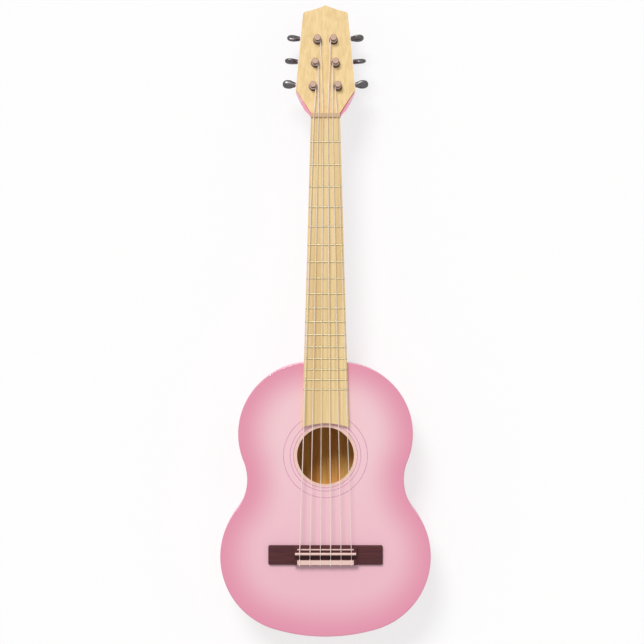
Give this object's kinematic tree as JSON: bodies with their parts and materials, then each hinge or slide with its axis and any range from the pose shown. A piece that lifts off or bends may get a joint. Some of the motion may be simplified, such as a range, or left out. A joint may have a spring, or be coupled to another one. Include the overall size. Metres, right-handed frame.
{
  "type": "toy acoustic guitar",
  "caption": "Small nylon-strung toy guitar with a figure-eight sound box, round soundhole, fretted neck, tied bridge and geared tuning machines whose buttons turn the string posts.",
  "frame": {"origin": "on the flat back face, on the centreline, straight below the centre of the soundhole", "axes": "+Y along the neck towards the head, +Z out of the soundboard, +X towards the treble side"},
  "size_m": [0.2532, 0.7639, 0.0825],
  "materials": {
    "pink_lacquer": "plywood and neck wood under glossy pink lacquer, darker towards the edge",
    "head_maple": "bare pale wood, satin",
    "inner_spruce": "raw sawn wood",
    "bridge_rosewood": "dark stained hardwood, satin",
    "cream_plastic": "smooth cream plastic",
    "rosette_cream": "pale wood inlay under lacquer",
    "rosette_mauve": "thin dyed wood line under lacquer",
    "fret_wire": "nickel silver wire, rounded crown",
    "tuner_steel": "nickel-plated steel",
    "gear_brass": "cut brass",
    "button_chrome": "moulded plastic under dark chrome plating",
    "clear_nylon": "translucent nylon"
  },
  "bodies": {
    "root": {"soundboard": "pink_lacquer", "rosette_band": "rosette_cream", "rosette_lines": "rosette_mauve", "back_plate": "pink_lacquer", "side_treble": "pink_lacquer", "side_bass": "pink_lacquer", "neck_block": "inner_spruce", "tail_block": "inner_spruce", "top_linings": "inner_spruce", "back_linings": "inner_spruce", "upper_top_brace": "inner_spruce", "lower_top_brace": "inner_spruce", "fan_braces": "inner_spruce", "bridge_patch": "inner_spruce", "upper_back_brace": "inner_spruce", "middle_back_brace": "inner_spruce", "lower_back_brace": "inner_spruce", "neck": "pink_lacquer", "headstock_face": "head_maple", "fretboard": "head_maple", "frets": "fret_wire", "nut": "cream_plastic", "bridge": "bridge_rosewood", "saddle": "cream_plastic", "bridge_strips": "cream_plastic", "tuner_plate_treble": "tuner_steel", "tuner_plate_bass": "tuner_steel", "plate_screws": "tuner_steel", "post_bushings": "tuner_steel", "string_1": "clear_nylon", "string_2": "clear_nylon", "string_3": "clear_nylon", "string_4": "clear_nylon", "string_5": "clear_nylon", "string_6": "clear_nylon"},
    "tuner_1_button": {"worm_shaft_1": "tuner_steel", "button_1": "button_chrome"},
    "tuner_1_post": {"post_1": "tuner_steel", "gear_1": "gear_brass"},
    "tuner_2_button": {"worm_shaft_2": "tuner_steel", "button_2": "button_chrome"},
    "tuner_2_post": {"post_2": "tuner_steel", "gear_2": "gear_brass"},
    "tuner_3_button": {"worm_shaft_3": "tuner_steel", "button_3": "button_chrome"},
    "tuner_3_post": {"post_3": "tuner_steel", "gear_3": "gear_brass"},
    "tuner_4_button": {"worm_shaft_4": "tuner_steel", "button_4": "button_chrome"},
    "tuner_4_post": {"post_4": "tuner_steel", "gear_4": "gear_brass"},
    "tuner_5_button": {"worm_shaft_5": "tuner_steel", "button_5": "button_chrome"},
    "tuner_5_post": {"post_5": "tuner_steel", "gear_5": "gear_brass"},
    "tuner_6_button": {"worm_shaft_6": "tuner_steel", "button_6": "button_chrome"},
    "tuner_6_post": {"post_6": "tuner_steel", "gear_6": "gear_brass"}
  },
  "joints": [
    {"name": "button_1_turn", "type": "hinge", "parent": "root", "child": "tuner_1_button", "pos_m": [0.01427, 0.44663, 0.04444], "axis": [0.9963, 0.0838, -0.0209], "continuous": true},
    {"name": "post_1_turn", "type": "hinge", "parent": "root", "child": "tuner_1_post", "pos_m": [0.0149, 0.43958, 0.0462], "axis": [0, 0.2419, 0.9703], "continuous": true},
    {"name": "button_2_turn", "type": "hinge", "parent": "root", "child": "tuner_2_button", "pos_m": [0.01168, 0.47563, 0.03721], "axis": [0.9963, 0.0838, -0.0209], "continuous": true},
    {"name": "post_2_turn", "type": "hinge", "parent": "root", "child": "tuner_2_post", "pos_m": [0.01231, 0.46858, 0.03897], "axis": [0, 0.2419, 0.9703], "continuous": true},
    {"name": "button_3_turn", "type": "hinge", "parent": "root", "child": "tuner_3_button", "pos_m": [0.00909, 0.50463, 0.02998], "axis": [0.9963, 0.0838, -0.0209], "continuous": true},
    {"name": "post_3_turn", "type": "hinge", "parent": "root", "child": "tuner_3_post", "pos_m": [0.00972, 0.49758, 0.03174], "axis": [0, 0.2419, 0.9703], "continuous": true},
    {"name": "button_4_turn", "type": "hinge", "parent": "root", "child": "tuner_4_button", "pos_m": [-0.00909, 0.50463, 0.02998], "axis": [-0.9963, 0.0838, -0.0209], "continuous": true},
    {"name": "post_4_turn", "type": "hinge", "parent": "root", "child": "tuner_4_post", "pos_m": [-0.00972, 0.49758, 0.03174], "axis": [0, 0.2419, 0.9703], "continuous": true},
    {"name": "button_5_turn", "type": "hinge", "parent": "root", "child": "tuner_5_button", "pos_m": [-0.01168, 0.47563, 0.03721], "axis": [-0.9963, 0.0838, -0.0209], "continuous": true},
    {"name": "post_5_turn", "type": "hinge", "parent": "root", "child": "tuner_5_post", "pos_m": [-0.01231, 0.46858, 0.03897], "axis": [0, 0.2419, 0.9703], "continuous": true},
    {"name": "button_6_turn", "type": "hinge", "parent": "root", "child": "tuner_6_button", "pos_m": [-0.01427, 0.44663, 0.04444], "axis": [-0.9963, 0.0838, -0.0209], "continuous": true},
    {"name": "post_6_turn", "type": "hinge", "parent": "root", "child": "tuner_6_post", "pos_m": [-0.0149, 0.43958, 0.0462], "axis": [0, 0.2419, 0.9703], "continuous": true}
  ],
  "couplings": [
    {"joint": "post_1_turn", "follows": "button_1_turn", "ratio": 0.071429},
    {"joint": "post_2_turn", "follows": "button_2_turn", "ratio": 0.071429},
    {"joint": "post_3_turn", "follows": "button_3_turn", "ratio": 0.071429},
    {"joint": "post_4_turn", "follows": "button_4_turn", "ratio": 0.071429},
    {"joint": "post_5_turn", "follows": "button_5_turn", "ratio": 0.071429},
    {"joint": "post_6_turn", "follows": "button_6_turn", "ratio": 0.071429}
  ]
}
